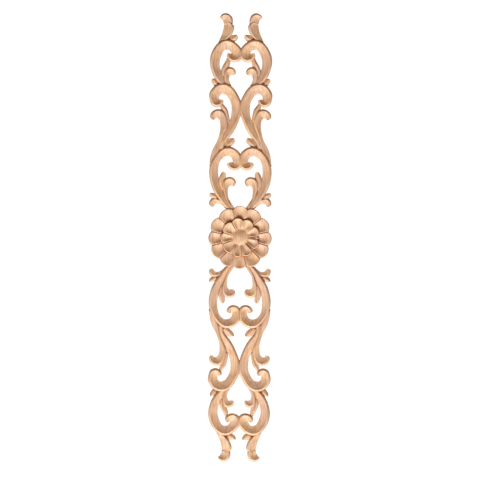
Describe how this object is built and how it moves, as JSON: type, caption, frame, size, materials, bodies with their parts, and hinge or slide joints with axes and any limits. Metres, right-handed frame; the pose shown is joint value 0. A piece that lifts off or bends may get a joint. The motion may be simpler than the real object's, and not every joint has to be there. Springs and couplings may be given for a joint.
{
  "type": "carved wood applique",
  "caption": "Long carved wood applique: a round petalled rosette between two mirrored runs of C-scrolls and curling leaves, with a flat back for gluing or pinning.",
  "frame": {"origin": "on the flat back, behind the middle of the rosette", "axes": "+Y out of the flat back, towards the surface it is fixed to; the carving faces -Y; +Z along the length; +X across it, to the right seen from the front"},
  "size_m": [0.0844, 0.015, 0.5994],
  "materials": {
    "wood": "bare sanded, matt"
  },
  "bodies": {
    "root": {"carved_applique": "wood"}
  },
  "joints": []
}
